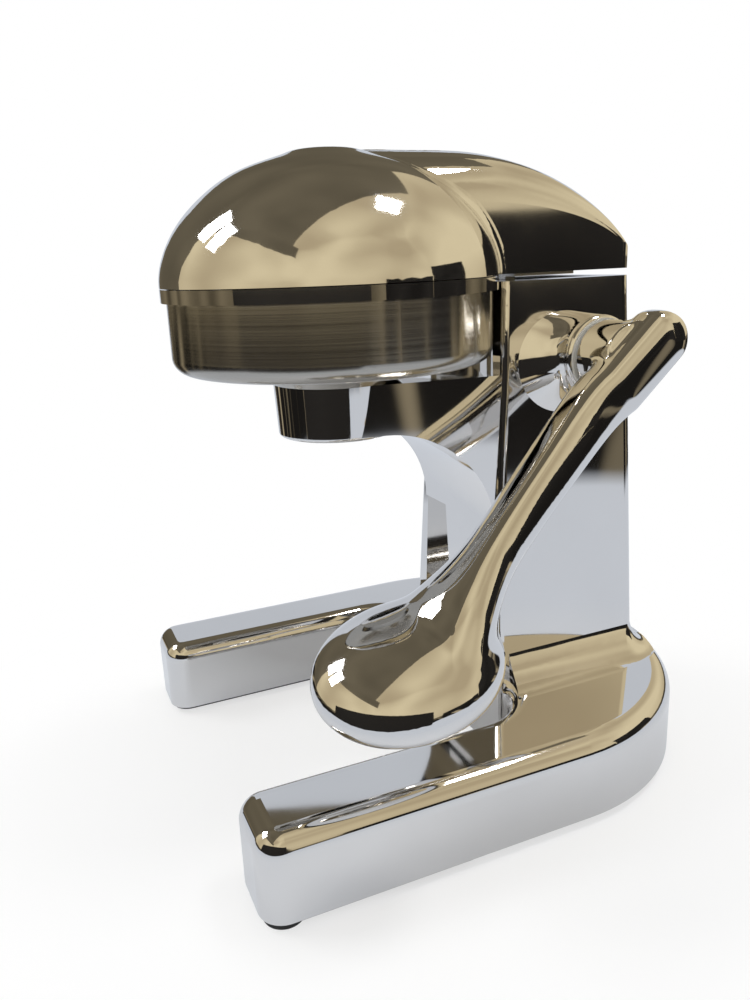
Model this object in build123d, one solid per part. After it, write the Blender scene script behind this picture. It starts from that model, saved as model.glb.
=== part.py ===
from build123d import *
from math import acos, atan, copysign, cos, pi, radians, sin, sqrt, tan
import os

# Lever citrus press: a polished stand, a head moved by a rack and pinion, a bowl and a strainer.
# Units are millimetres. +Z is up, the glass stands on the -Y side between the two legs, and the
# lever is on the +X side. Every piece is drawn about the middle plane of the stand, then moved
# so that the origin is on the table in the middle of the whole press, lever included.

# ---------------------------------------------------------------- driving dimensions
# Place of the stand's middle plane in the finished frame
stand_plane_x = -10.27

# Stand: horseshoe base
base_half_width = 90.5
base_front_y = -102.0
base_rear_y = 102.0
base_back_radius = 79.5
base_underside_z = 3.2
base_top_z = 34.5
leg_inner_x = 58.0
crossbar_front_y = 17.0
inner_corner_radius = 22.0
leg_corner_radius = 9.0
base_top_round = 7.6
base_wall = 4.0
base_roof = 4.5

# Stand: column, with draft towards the top
column_top_z = 193.5
column_top_half_width = 29.8
column_top_front_y = 22.4
column_top_rear_y = 81.1
column_foot_half_width = 37.4
column_foot_front_y = 15.3
column_foot_rear_y = 85.6
column_corner_radius = 5.0
column_front_corner_radius = 2.5
column_wall = 4.5
column_deck = 8.0
cove_radius = 14.0
cove_sink = 0.25
cove_corner_spread = 1.6
panel_recess = 5.0
panel_wall = 3.5
panel_rim = 5.5
cavity_corner_radius = 3.0
panel_lift = 13.5
panel_drop = 73.5

# Press axis: bowl, strainer, cup and dome are turned about it
press_y = -35.0

# Stand: arm with the ring that carries the bowl
ring_height = 20.2
ring_top_radius = 23.9
ring_low_radius = 22.9
ring_bore_radius = 17.0
arm_root_flare = 0.7
arm_lift = 1.3
arm_blend_drop = 42.3
arm_edge_round = 1.6

# Shaft and lever boss
shaft_y = 56.1
shaft_drop = 28.7
shaft_radius = 6.0
boss_radius = 15.4
boss_length = 15.2
boss_end_round = 2.0
fairing_half_length = 23.0
fairing_half_height = 21.0
fairing_back_set = 9.6
fairing_drop = 4.3
fairing_tilt = 21.0
fairing_sink = 0.1
fairing_root_depth = 3.0
inner_boss_radius = 11.5
inner_boss_x = 18.5
bush_wall = 2.0
left_wall_left = 2.2

# Rack and pinion
gear_module = 1.5
pinion_teeth = 17
pressure_angle = 20.0
gear_face_width = 14.0
rack_addendum = 1.3
gear_dedendum = 1.9
flank_backlash = 0.1
rack_depth = 6.35
rack_reach_below = 68.8
rack_foot_height = 10.0
rack_teeth_rise = 11.2
rack_flange = (30.0, 28.0, 5.0)
pinion_hub_radius = 10.0
lever_swing = 3.7
stop_pin_radius = 2.5
stop_pin_lift = 5.0
stop_pin_length = 21.0

drive_pin_radius = 2.0
drive_pin_inset = 0.8

# Rack guide, a block let into the top of the column
guide_flange = (38.0, 38.0, 2.5)
guide_half_width = 11.0
guide_front_wall = 1.75
guide_cheek_depth = 6.0
guide_body_depth = 17.0
guide_ring_depth = 8.9
guide_screw_x = 14.4
guide_screw_length = 6.5

# Lever
lever_standoff = 18.0
hub_radius = 13.9
shaft_past_lever = 3.0
washer_thickness = 1.0
set_screw_radius = 2.5
set_screw_inset = 5.5
set_screw_angle = -35.0
lever_width = 17.0
lever_slope = 42.0
lever_depth = 21.0
lever_root_reach = -14.0
lever_end_reach = 20.5
lever_end_round = 9.0
cap_narrowing = 0.45
paddle_half_length = 32.6
paddle_half_width = 27.2
paddle_half_thickness = 14.8
paddle_out = 21.0
paddle_forward = 103.2
paddle_drop = 86.1
paddle_tilt = 9.7
paddle_roll = 20.0

# Head
rim_radius = 62.3
head_gap = 2.7
dome_height = 45.5
dome_fullness = 1.85
head_wall = 3.5
head_rear_crown_y = 10.0
hood_drop = 0.5
arch_share = 0.44
arch_fullness = 2.2
hood_end_angle = 82.0
head_corner_radius = 5.0
crease_radius = 6.5

# Press cup inside the head
cup_radius = 49.0
cup_height = 33.0
cup_wall = 1.5
cup_flange_radius = 57.5
cup_screw_radius = 3.0
cup_screw_length = 8.0
cup_boss_radius = 9.0

# Juice bowl and strainer
bowl_wall = 1.5
bowl_side_radius = 60.3
bowl_depth = 30.4
ledge_depth = 3.2
bowl_corner_radius = 6.0
collar_height = 4.7
sump_radius = 24.0
sump_depth = 6.3
sump_slant = 6.0
spout_lift = 4.0
strainer_wall = 1.2
cone_radius = 41.0
cone_height = 26.0
floor_slots = 24
cone_slots = 16
slot_width = 3.0
floor_slot_rim = 3.5
cone_slot_start = 18.0
cone_slot_end = 38.0
cone_slot_lift = 1.0
strainer_gap = 0.2

# Feet, base cover and screws
foot_radius = 7.1
foot_inset = 8.6
rear_foot_angle = 50.0
cover_thickness = 1.4
cover_inset = 1.4
cover_step_y = -27.0
cover_step_inset = 7.0
pillar_radius = 5.5
front_pillar_y = -44.0
rear_pillar_inset = 14.0
rear_pillar_angle = 72.0
small_screw_radius = 2.0
large_screw_radius = 2.5
base_screw_length = 12.0
head_screw_length = 16.0
head_screw_x = 9.0
head_screw_reach = 20.0
foot_screw_sink = 0.6
foot_edge_round = 0.6

# Clearances
running_gap = 0.04
slide_gap = 0.15
spout_gap = 0.1
seat_gap = 0.3
bowl_gap = 0.5
rack_flange_gap = 1.2


def at_height(top, foot, z):
    """Straight draft between the column's top and its foot on the base."""
    share = (column_top_z - z) / (column_top_z - base_top_z)
    return top + (foot - top) * share


# ---------------------------------------------------------------- derived sizes
panel_low_z = base_top_z + panel_lift
panel_high_z = column_top_z - panel_drop
pitch_radius = gear_module * pinion_teeth / 2
tooth_pitch = pi * gear_module
head_travel = lever_swing * pitch_radius

# Heights below the head: bowl, ring and arm
head_low_z = column_top_z + head_gap
rim_top_z = head_low_z - seat_gap
ledge_z = rim_top_z - ledge_depth
bowl_floor_z = rim_top_z - bowl_depth
ring_top_z = bowl_floor_z - sump_depth
ring_low_z = ring_top_z - ring_height
spout_low_z = ring_low_z + spout_lift
arm_low_z = ring_low_z + arm_lift
arm_blend_z = arm_low_z - arm_blend_drop
arm_root_half_width = column_top_half_width + arm_root_flare
cover_low_z = base_underside_z - cover_thickness

# Shaft, boss and lever
shaft_z = column_top_z - shaft_drop
bush_radius = shaft_radius + bush_wall
boss_end_x = column_top_half_width + boss_length
hub_face_x = boss_end_x + washer_thickness
lever_plane_x = hub_face_x + lever_standoff
shaft_end_x = lever_plane_x + shaft_past_lever
set_screw_x = hub_face_x + set_screw_inset
left_bore_end_x = left_wall_left - at_height(column_top_half_width, column_foot_half_width, shaft_z)
drive_pin_x = (gear_face_width / 2 + inner_boss_x) / 2
paddle_x = lever_plane_x + paddle_out
paddle_y = shaft_y - paddle_forward
paddle_z = shaft_z - paddle_drop

# Rack and its guide
rack_pitch_y = shaft_y - pitch_radius
rack_back_y = rack_pitch_y - rack_depth
rack_low_z = shaft_z - rack_reach_below
rack_teeth_low_z = rack_low_z + rack_foot_height
rack_teeth_high_z = shaft_z + rack_teeth_rise
rack_flange_low_z = column_top_z + rack_flange_gap
stop_pin_z = rack_low_z + stop_pin_lift
guide_front_y = rack_back_y - slide_gap - guide_front_wall
guide_flange_y = guide_front_y + guide_flange[1] / 2
guide_cheek_y = rack_back_y + guide_cheek_depth
guide_body_rear_y = rack_back_y + guide_body_depth
guide_ring_low_z = column_top_z - guide_ring_depth


def column_half_width(z):
    return at_height(column_top_half_width, column_foot_half_width, z)


def column_front(z):
    return at_height(column_top_front_y, column_foot_front_y, z)


def column_rear(z):
    return at_height(column_top_rear_y, column_foot_rear_y, z)


def rounded_slab(z, half_width, front, rear, front_radius, rear_radius):
    """Horizontal rounded rectangle at height z, the section of the column and its cavity."""
    slab = Rectangle(2 * half_width, rear - front)
    slab = fillet(slab.vertices().group_by(Axis.Y)[0], front_radius)
    slab = fillet(slab.vertices().group_by(Axis.Y)[-1], rear_radius)
    return Plane(origin=(0, (front + rear) / 2, z)) * slab


def column_section(z):
    """Outer section of the column at height z."""
    return rounded_slab(z, column_half_width(z), column_front(z), column_rear(z),
                        column_front_corner_radius, column_corner_radius)


def cavity_section(z, front):
    """Section of the column's cavity at height z, with its front face at the given y."""
    return rounded_slab(z, column_half_width(z) - column_wall, front,
                        column_rear(z) - column_wall, cavity_corner_radius,
                        cavity_corner_radius)


def turned(points_wire, axis_y=press_y):
    """Solid of revolution about the press axis, from a closed profile in the XZ plane."""
    return Pos(0, axis_y, 0) * revolve(make_face(points_wire), Axis.Z)


def rod_x(radius, x0, x1, y=shaft_y, z=shaft_z):
    """Round bar along X between two stations."""
    start = Plane(origin=(x0, y, z), x_dir=(0, 1, 0), z_dir=(1, 0, 0))
    return extrude(start * Circle(radius), amount=x1 - x0)


def rod_z(radius, x, y, z0, z1):
    """Upright round bar."""
    return extrude(Plane(origin=(x, y, z0)) * Circle(radius), amount=z1 - z0)


def side_prism(face_wire, half_width):
    """Prism along X, symmetric about the middle plane, from a closed outline in YZ."""
    return extrude(make_face(face_wire), amount=half_width, both=True)


def quarter_ellipse(centre, x_radius, y_radius, plane=Plane.XZ):
    """Quarter ellipse from its widest point to its top."""
    return plane * EllipticalCenterArc(centre, x_radius, y_radius, start_angle=0, arc_size=90)


def yz_polyline(*points):
    return Polyline(*[(0, y, z) for y, z in points], close=True)


# ---------------------------------------------------------------- stand
def back_point(inset, degrees):
    """Point inside the right rear corner of the horseshoe, measured in from its outline."""
    turn = radians(degrees)
    reach = base_back_radius - inset
    return (base_half_width - base_back_radius + reach * cos(turn),
            base_rear_y - base_back_radius + reach * sin(turn))


def base_outline(inset=0.0):
    """Plan of the horseshoe: two legs joined by a round back."""
    front = base_front_y + inset
    rear = base_rear_y - inset
    outline = Pos(0, (front + rear) / 2) * Rectangle(2 * (base_half_width - inset), rear - front)
    outline = fillet(outline.vertices().group_by(Axis.Y)[-1], base_back_radius - inset)
    slot_rear = crossbar_front_y + inset
    slot_front = base_front_y - leg_inner_x
    outline -= Pos(0, (slot_rear + slot_front) / 2) * RectangleRounded(
        2 * (leg_inner_x + inset), slot_rear - slot_front, inner_corner_radius + inset)
    toes = outline.vertices().group_by(Axis.Y)[0]
    return fillet(toes, max(leg_corner_radius - inset, leg_corner_radius / 4))


def make_base():
    body = extrude(Plane(origin=(0, 0, base_underside_z)) * base_outline(),
                   amount=base_top_z - base_underside_z)
    return fillet(body.faces().sort_by(Axis.Z)[-1].edges(), base_top_round)


def make_column():
    """Tapered column whose foot flares out into the base on three sides."""
    shaft = loft([column_section(base_underside_z), column_section(column_top_z)])
    flare = []
    steps = 6
    for step in range(steps + 1):
        turn = radians(90 * step / steps)
        z = base_top_z + cove_radius * (1 - cos(turn))
        out = cove_radius * (1 - sin(turn)) - cove_sink
        flare.append(rounded_slab(z, column_half_width(z) + out, column_front(z) + cove_sink,
                                  column_rear(z) + out, column_front_corner_radius,
                                  column_corner_radius + cove_corner_spread * max(out, 0)))
    foot = loft(flare) + extrude(flare[0], amount=-base_top_round)
    foot &= extrude(Plane(origin=(0, 0, base_underside_z)) * base_outline(base_top_round / 2),
                    amount=column_top_z - base_underside_z)
    return shaft + foot - make_panel_recess()


def make_panel_recess():
    """Sunk panel in the column's front face, with sloping ends."""
    slope = panel_recess + 3
    panel_y = column_front((panel_low_z + panel_high_z) / 2) + panel_recess
    outline = yz_polyline((column_front(panel_low_z), panel_low_z),
                          (panel_y, panel_low_z + slope), (panel_y, panel_high_z - slope),
                          (column_front(panel_high_z), panel_high_z),
                          (column_front(panel_low_z) - slope, panel_high_z),
                          (column_front(panel_low_z) - slope, panel_low_z))
    return side_prism(outline, column_half_width(panel_high_z) - panel_rim)


def make_arm():
    """Arm with a curved underside, ending in the ring round the press axis."""
    foot_y = column_front(arm_blend_z)
    end_y = column_front(ring_top_z) + 3
    deep_y = foot_y + 3
    blend = Bezier((0, press_y + 10, arm_low_z), (0, press_y + 32, arm_low_z),
                   (0, foot_y, arm_blend_z + 24), (0, foot_y, arm_blend_z))
    outline = blend + Polyline((0, foot_y, arm_blend_z), (0, deep_y, arm_blend_z),
                               (0, end_y, ring_top_z), (0, press_y, ring_top_z),
                               (0, press_y, arm_low_z), (0, press_y + 10, arm_low_z))
    side = side_prism(outline, 2 * arm_root_half_width)
    plan = Polyline((-ring_low_radius, press_y), (-arm_root_half_width, end_y),
                    (arm_root_half_width, end_y), (ring_low_radius, press_y), close=True)
    above = extrude(Plane(origin=(0, 0, arm_blend_z)) * make_face(plan),
                    amount=ring_top_z - arm_blend_z)
    arm = side & above
    ring = Pos(0, press_y, ring_low_z) * Cone(ring_low_radius, ring_top_radius,
                                              ring_top_z - ring_low_z,
                                              align=(Align.CENTER, Align.CENTER, Align.MIN))
    ring = fillet(ring.edges().sort_by(Axis.Z)[0], arm_edge_round)
    return arm + ring


def make_boss():
    """Lever boss on the +X wall, with a fairing that leans to the column's front edge."""
    tilt = radians(fairing_tilt)
    long_way = (0, cos(tilt), sin(tilt))
    root_x = column_top_half_width
    tip_x = boss_end_x - boss_end_round
    sections = []
    steps = 5
    for step in range(steps + 1):
        share = step / steps
        fade = (1 - share) ** 2
        place = Plane(origin=(root_x + (tip_x - root_x) * share,
                              shaft_y - fairing_back_set * fade,
                              shaft_z - fairing_drop * fade),
                      x_dir=long_way, z_dir=(1, 0, 0))
        tip_radius = boss_radius - fairing_sink
        sections.append(place * Ellipse(tip_radius + (fairing_half_length - tip_radius) * fade,
                                        tip_radius + (fairing_half_height - tip_radius) * fade))
    fairing = loft(sections) + extrude(sections[0], amount=-fairing_root_depth)
    drum = rod_x(boss_radius, column_top_half_width - fairing_root_depth, boss_end_x)
    drum = fillet(drum.edges().sort_by(Axis.X)[-1], boss_end_round)
    return fairing + drum


def pillar_places():
    """Screw pillars under the legs and the back: x, y."""
    mid_x = (base_half_width + leg_inner_x) / 2
    rear_x, rear_y = back_point(rear_pillar_inset, rear_pillar_angle)
    return [(side * mid_x, front_pillar_y) for side in (-1, 1)] + [
        (side * rear_x, rear_y) for side in (-1, 1)]


def foot_places():
    """Two feet under the toes and two under the round back: x, y."""
    front = (base_half_width - foot_inset, base_front_y + foot_inset)
    rear = back_point(foot_inset, rear_foot_angle)
    return [(side * x, y) for x, y in (front, rear) for side in (-1, 1)]


def make_body_casting():
    body = make_base() + make_column() + make_arm() + make_boss()

    # Hollow underside, closed by the cover, with pillars for the screws and the feet
    roof_z = base_top_z - base_roof
    hollow = extrude(Plane(origin=(0, 0, base_underside_z)) * base_outline(base_wall),
                     amount=roof_z - base_underside_z)
    for x, y in pillar_places() + foot_places():
        hollow -= rod_z(pillar_radius, x, y, base_underside_z, roof_z)
    shelf_z = panel_high_z
    panel_y = column_front((panel_low_z + panel_high_z) / 2) + panel_recess + panel_wall
    deck_z = column_top_z - column_deck
    body -= hollow
    body -= loft([cavity_section(roof_z - 1, panel_y), cavity_section(shelf_z, panel_y)])
    body -= loft([cavity_section(shelf_z, guide_front_y), cavity_section(deck_z, guide_front_y)])

    # Inner bosses round the shaft, then the bores for the bushes
    wall_x = column_half_width(shaft_z) - 1
    body += rod_x(inner_boss_radius, -wall_x, -inner_boss_x)
    body += rod_x(inner_boss_radius, inner_boss_x, wall_x)
    body -= rod_x(bush_radius, left_bore_end_x, -inner_boss_x)
    body -= rod_x(bush_radius, inner_boss_x, boss_end_x)

    # Round recess behind the bowl, ring bore, guide seat in the deck, screw holes
    body -= rod_z(bowl_side_radius + bowl_gap, 0, press_y, ring_top_z, column_top_z + 1)
    body -= rod_z(rim_radius + bowl_gap, 0, press_y, rim_top_z - collar_height - bowl_gap,
                  column_top_z + 1)
    body -= rod_z(ring_bore_radius, 0, press_y, ring_low_z - 1, ring_top_z + 1)
    body -= guide_well()
    body -= make_base_cover_screws() + make_foot_screws()
    for x, y in guide_screw_places():
        body -= rod_z(small_screw_radius, x, y, column_top_z - guide_screw_length - seat_gap,
                      column_top_z)
    return body


# ---------------------------------------------------------------- rack guide
def guide_screw_places():
    inset = guide_flange[0] / 2 - guide_screw_x
    reach = guide_flange[1] / 2 - inset
    return [(side * guide_screw_x, guide_flange_y + end * reach)
            for side in (-1, 1) for end in (-1, 1)]


def box_between(x0, x1, y0, y1, z0, z1):
    middle = Pos((x0 + x1) / 2, (y0 + y1) / 2, (z0 + z1) / 2)
    return middle * Box(x1 - x0, y1 - y0, z1 - z0)


def guide_well():
    """Seat of the guide block, cut through the column's deck."""
    width, depth, height = guide_flange
    flange = box_between(-width / 2, width / 2, guide_flange_y - depth / 2,
                         guide_flange_y + depth / 2, column_top_z - height, column_top_z + 1)
    throat = box_between(-guide_half_width, guide_half_width, guide_front_y, guide_body_rear_y,
                         column_top_z - column_deck - 1, column_top_z)
    return flange + throat


def make_rack_guide_block():
    width, depth, height = guide_flange
    half_rack = gear_face_width / 2 + slide_gap
    cheek_low_z = stop_pin_z + stop_pin_radius + head_travel + seat_gap
    block = box_between(-width / 2, width / 2, guide_flange_y - depth / 2,
                        guide_flange_y + depth / 2, column_top_z - height, column_top_z)
    block += box_between(-guide_half_width, guide_half_width, guide_front_y, guide_body_rear_y,
                         guide_ring_low_z, column_top_z - height)
    block += box_between(-guide_half_width, guide_half_width, guide_front_y, guide_cheek_y,
                         cheek_low_z, guide_ring_low_z)
    tooth_tip_y = rack_pitch_y + rack_addendum
    block -= box_between(-half_rack, half_rack, rack_back_y - slide_gap,
                         tooth_tip_y + slide_gap, cheek_low_z - 1, column_top_z + 1)
    return block - make_rack_guide_screws()


def countersunk(x, y, face_z, length, radius, up=True):
    """Screw whose flat countersunk face lies at face_z, looking up or down."""
    side = -1 if up else 1
    head_z = face_z + side * radius / 2
    bottom, top = (radius, 2 * radius) if up else (2 * radius, radius)
    head = Pos(x, y, head_z) * Cone(bottom, top, radius)
    ends = sorted((face_z + side * radius, face_z + side * length))
    return head + rod_z(radius, x, y, *ends)


# ---------------------------------------------------------------- rack and pinion
def tooth_half_angle(radius):
    """Half the angle that an involute tooth of the pinion takes up at this radius."""
    base_radius = pitch_radius * cos(radians(pressure_angle))
    slope = acos(base_radius / max(radius, base_radius))
    start = radians(pressure_angle)
    at_pitch = pi / (2 * pinion_teeth) - flank_backlash / pitch_radius
    return at_pitch + (tan(start) - start) - (tan(slope) - slope)


def pinion_outline():
    """Closed outline of the toothed wheel, with one tooth pointing back along the local x axis."""
    tip = pitch_radius + gear_module
    root = pitch_radius - gear_dedendum
    base_radius = pitch_radius * cos(radians(pressure_angle))
    radii = [base_radius + (tip - base_radius) * step / 4 for step in range(5)]
    step_angle = 2 * pi / pinion_teeth

    def at(radius, angle):
        return (radius * cos(angle), radius * sin(angle))

    edges = []
    for tooth in range(pinion_teeth):
        middle = pi + tooth * step_angle
        rising = [at(radius, middle - tooth_half_angle(radius)) for radius in radii]
        falling = [at(radius, middle + tooth_half_angle(radius)) for radius in reversed(radii)]
        foot_angle = tooth_half_angle(base_radius)
        foot_in = at(root, middle - foot_angle)
        foot_out = at(root, middle + foot_angle)
        next_foot = at(root, middle + step_angle - foot_angle)
        edges += [
            Line(foot_in, rising[0]), Spline(rising),
            ThreePointArc(rising[-1], at(tip, middle), falling[0]),
            Spline(falling), Line(falling[-1], foot_out),
            ThreePointArc(foot_out, at(root, middle + step_angle / 2), next_foot)]
    return Wire(edges)


def make_pinion_gear():
    half_face = gear_face_width / 2
    plane = Plane(origin=(-half_face, shaft_y, shaft_z), x_dir=(0, 1, 0), z_dir=(1, 0, 0))
    gear = extrude(plane * make_face(pinion_outline()), amount=gear_face_width)
    hub_x = inner_boss_x - seat_gap
    gear += rod_x(pinion_hub_radius, -hub_x, hub_x)
    gear -= rod_x(shaft_radius, -hub_x, hub_x)
    return gear - drive_pin_hole()


def drive_pin_hole():
    return rod_z(drive_pin_radius, drive_pin_x, shaft_y,
                 shaft_z - pinion_hub_radius, shaft_z + pinion_hub_radius)


def make_pinion_drive_pin():
    half_length = pinion_hub_radius - drive_pin_inset
    return rod_z(drive_pin_radius, drive_pin_x, shaft_y,
                 shaft_z - half_length, shaft_z + half_length)


def make_pinion_shaft():
    shaft = rod_x(shaft_radius, left_bore_end_x + seat_gap, shaft_end_x)
    return shaft - drive_pin_hole()


def make_bush(x0, x1):
    return rod_x(bush_radius, x0, x1) - rod_x(shaft_radius + running_gap, x0 - 1, x1 + 1)


def make_lever_thrust_washer():
    return rod_x(hub_radius + 0.4, boss_end_x, hub_face_x) - rod_x(
        shaft_radius + running_gap, boss_end_x - 1, hub_face_x + 1)


def make_rack_bar():
    """Toothed bar with a flange that bolts up into the head."""
    half_face = gear_face_width / 2
    root_y = rack_pitch_y - gear_dedendum
    tip_y = rack_pitch_y + rack_addendum
    flange_x, flange_y, flange_height = rack_flange
    bar = box_between(-half_face, half_face, rack_back_y, root_y, rack_low_z,
                      rack_flange_low_z)
    slope = tan(radians(pressure_angle))
    half_pitch_tooth = tooth_pitch / 4 - flank_backlash
    root_half = half_pitch_tooth + gear_dedendum * slope
    tip_half = half_pitch_tooth - rack_addendum * slope
    first = round((rack_teeth_low_z - shaft_z) / tooth_pitch) + 1
    last = round((rack_teeth_high_z - shaft_z) / tooth_pitch)
    for index in range(first, last):
        z = shaft_z + (index + 0.5) * tooth_pitch
        tooth = yz_polyline((root_y, z - root_half), (tip_y, z - tip_half),
                            (tip_y, z + tip_half), (root_y, z + root_half))
        bar += side_prism(tooth, half_face)
    bar += box_between(-half_face, half_face, rack_back_y, tip_y, rack_low_z, rack_teeth_low_z)
    front_y = rack_back_y - 1
    bar += box_between(-flange_x / 2, flange_x / 2, front_y, front_y + flange_y,
                       rack_flange_low_z, rack_flange_low_z + flange_height)
    return bar - make_rack_head_screws() - stop_pin_hole()


def rack_screw_places():
    return [(side * head_screw_x, rack_back_y + head_screw_reach) for side in (-1, 1)]


def stop_pin_hole():
    y = (rack_back_y + rack_pitch_y + rack_addendum) / 2
    return rod_x(stop_pin_radius, -stop_pin_length / 2, stop_pin_length / 2, y, stop_pin_z)


def make_rack_head_screws():
    return [countersunk(x, y, rack_flange_low_z, head_screw_length, large_screw_radius, up=False)
            for x, y in rack_screw_places()]


# ---------------------------------------------------------------- lever
def lever_stations():
    """Sections of the lever, in three runs: its rounded upper end, the bar and the neck.

    Each is x, y, z, slope in degrees, half width, half thickness, roll in degrees, squareness.
    """
    half = lever_width / 2
    depth = lever_depth / 2
    middle_reach = lever_end_reach - lever_end_round
    cap = []
    for turn in (0, 25, 45, 62, 75, 84):
        rise, run = sin(radians(turn)), cos(radians(turn))
        cap.append((*lever_along(middle_reach + lever_end_round * rise), lever_slope,
                    half * (1 - cap_narrowing * (1 - run)), depth * run, 0.0, 3.2))
    root = (*lever_along(lever_root_reach), lever_slope, half, depth, 0.0, 3.2)
    start = (*lever_place(13.8, -65.2, -52.2), 41.0, half + 0.3, 8.4, -2.0, 2.6)
    bar = [root, (*lever_place(0.9, -25.4, -20.9), 40.0, half, 9.6, 0.0, 3.2),
           (*lever_place(3.5, -35.6, -29.5), 39.0, half, 9.1, 0.0, 3.1),
           (*lever_place(6.9, -46.0, -37.5), 38.0, half, 8.7, 0.0, 3.0),
           (*lever_place(10.5, -55.8, -44.9), 38.0, half, 8.5, 0.0, 2.8), start]
    neck = [start, (*lever_place(17.8, -75.8, -60.9), 45.0, half + 3.0, 9.3, -6.0, 2.4),
            (*lever_place(20.2, -84.9, -69.7), 46.0, half + 7.8, 11.0, -12.0, 2.2),
            (*lever_place(21.0, -93.4, -78.9), 40.0, half + 11.6, 11.5, -18.0, 2.0),
            (*lever_place(21.0, -101.3, -84.9), 25.0, half + 11.6, 9.0, -paddle_roll, 2.0)]
    return cap, bar, neck


def lever_place(out, along, up):
    """Place on the lever, measured from the point where its middle plane meets the shaft."""
    return (lever_plane_x + out, shaft_y + along, shaft_z + up)


def lever_along(reach):
    """Place on the straight upper stretch of the lever, measured upwards from the shaft."""
    slope = radians(lever_slope)
    return (lever_plane_x, shaft_y + reach * cos(slope), shaft_z + reach * sin(slope))


def make_paddle():
    """Flattened ball that fills the palm at the lever's lower end."""
    ball = scale(Sphere(1), by=(paddle_half_width, paddle_half_length, paddle_half_thickness))
    return Pos(paddle_x, paddle_y, paddle_z) * Rot(paddle_tilt, 0, 0) * Rot(0, paddle_roll, 0) * ball


def lever_section(x, y, z, slope, half_width, half_thickness, roll, squareness):
    """Closed superellipse across the lever: square-shouldered on the bar, oval on the paddle."""
    slope = radians(slope)
    place = Plane(origin=(x, y, z), x_dir=(1, 0, 0), z_dir=(0, -cos(slope), -sin(slope)))
    quarters = []
    for quarter in range(4):
        points = []
        for step in range(5):
            turn = pi / 2 * (quarter + step / 4)
            across, through = cos(turn), sin(turn)
            points.append((
                half_width * copysign(abs(across) ** (2 / squareness), across),
                half_thickness * copysign(abs(through) ** (2 / squareness), through)))
        start, end = pi / 2 * quarter, pi / 2 * (quarter + 1)
        quarters.append(Spline(
            *points, tangents=[(-sin(start), cos(start)), (-sin(end), cos(end))]))
    return place * Rot(0, 0, roll) * make_face(quarters)


def make_lever_arm():
    runs = [[lever_section(*station) for station in run] for run in lever_stations()]
    cap, bar, neck = runs
    straight_length = lever_end_reach - lever_end_round - lever_root_reach
    lever = extrude(bar[0], amount=-straight_length)
    lever += [loft(cap), loft(bar), loft(neck), make_paddle()]
    lever += rod_x(hub_radius, hub_face_x, lever_plane_x)
    lever -= rod_x(shaft_radius, hub_face_x - 1, shaft_end_x + seat_gap)
    return lever - set_screw_hole()


def set_screw_hole(start=shaft_radius - 1, end=hub_radius + 1):
    """Radial hole in the hub, on its hidden lower rear side."""
    direction = (0, cos(radians(set_screw_angle)), sin(radians(set_screw_angle)))
    origin = (set_screw_x, shaft_y + start * direction[1], shaft_z + start * direction[2])
    plane = Plane(origin=origin, x_dir=(1, 0, 0), z_dir=direction)
    return extrude(plane * Circle(set_screw_radius), amount=end - start)


def make_lever_set_screw():
    return set_screw_hole(shaft_radius, hub_radius - 1.0)


# ---------------------------------------------------------------- head
def dome_outline(radius, height, low_z):
    """Quarter outline of a full dome, from its rim to its crown."""
    points = []
    steps = 6
    for step in range(steps + 1):
        turn = radians(90 * step / steps)
        points.append((radius * cos(turn) ** (2 / (dome_fullness + 0.1)), 0,
                       low_z + height * sin(turn) ** (2 / dome_fullness)))
    points[-1] = (0, 0, low_z + height)
    return points


def make_dome(inset=0.0):
    points = dome_outline(rim_radius - inset, dome_height - inset, head_low_z)
    curve = Spline(points, tangents=[(0, 0, 1), (-1, 0, 0)])
    low = head_low_z - (1 if inset else 0)
    corners = [points[-1], (0, 0, low), (rim_radius - inset, 0, low), points[0]]
    return turned(curve + Polyline(*corners[:4 if inset else 3]))


def arch_section(y, height, inset=0.0):
    """Cross-section of the hood over the column: upright sides under a full arch."""
    half = column_top_half_width - inset
    low = head_low_z - (1 if inset else 0)
    rise = arch_share * height
    spring = head_low_z + height - rise
    right = []
    steps = 6
    for step in range(steps + 1):
        turn = pi / 2 * step / steps
        right.append((half * cos(turn) ** (2 / arch_fullness),
                      spring + rise * sin(turn) ** (2 / arch_fullness)))
    right[-1] = (0, spring + rise)
    left = [(-x, z) for x, z in reversed(right)]
    place = Plane(origin=(0, y, 0), x_dir=(1, 0, 0), z_dir=(0, -1, 0))
    edges = [Line((-half, low), (half, low)), Line((half, low), (half, spring)),
             Spline(right, tangents=[(0, 1), (-1, 0)]), Spline(left, tangents=[(-1, 0), (0, -1)]),
             Line((-half, spring), (-half, low))]
    return place * make_face(edges)


def make_head_block(inset=0.0):
    """Hood over the column: an arch that falls away to the rear."""
    height = dome_height - hood_drop - inset
    sections = [arch_section(press_y + step, height, inset) for step in (0, 14, 28)]
    fall = column_top_rear_y - head_rear_crown_y - inset
    last = radians(hood_end_angle)
    for degree in (0, 11, 22, 33, 44, 55, 65, 74, hood_end_angle):
        turn = radians(degree)
        sections.append(arch_section(head_rear_crown_y + fall * sin(turn) / sin(last),
                                     height * cos(turn), inset))
    hood = loft(sections)
    plan = Pos(0, 0, head_low_z - 1) * extrude(
        Pos(0, column_top_rear_y - inset - 100) * RectangleRounded(
            2 * (column_top_half_width - inset), 200, head_corner_radius), dome_height + 2)
    return hood & plan


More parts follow.
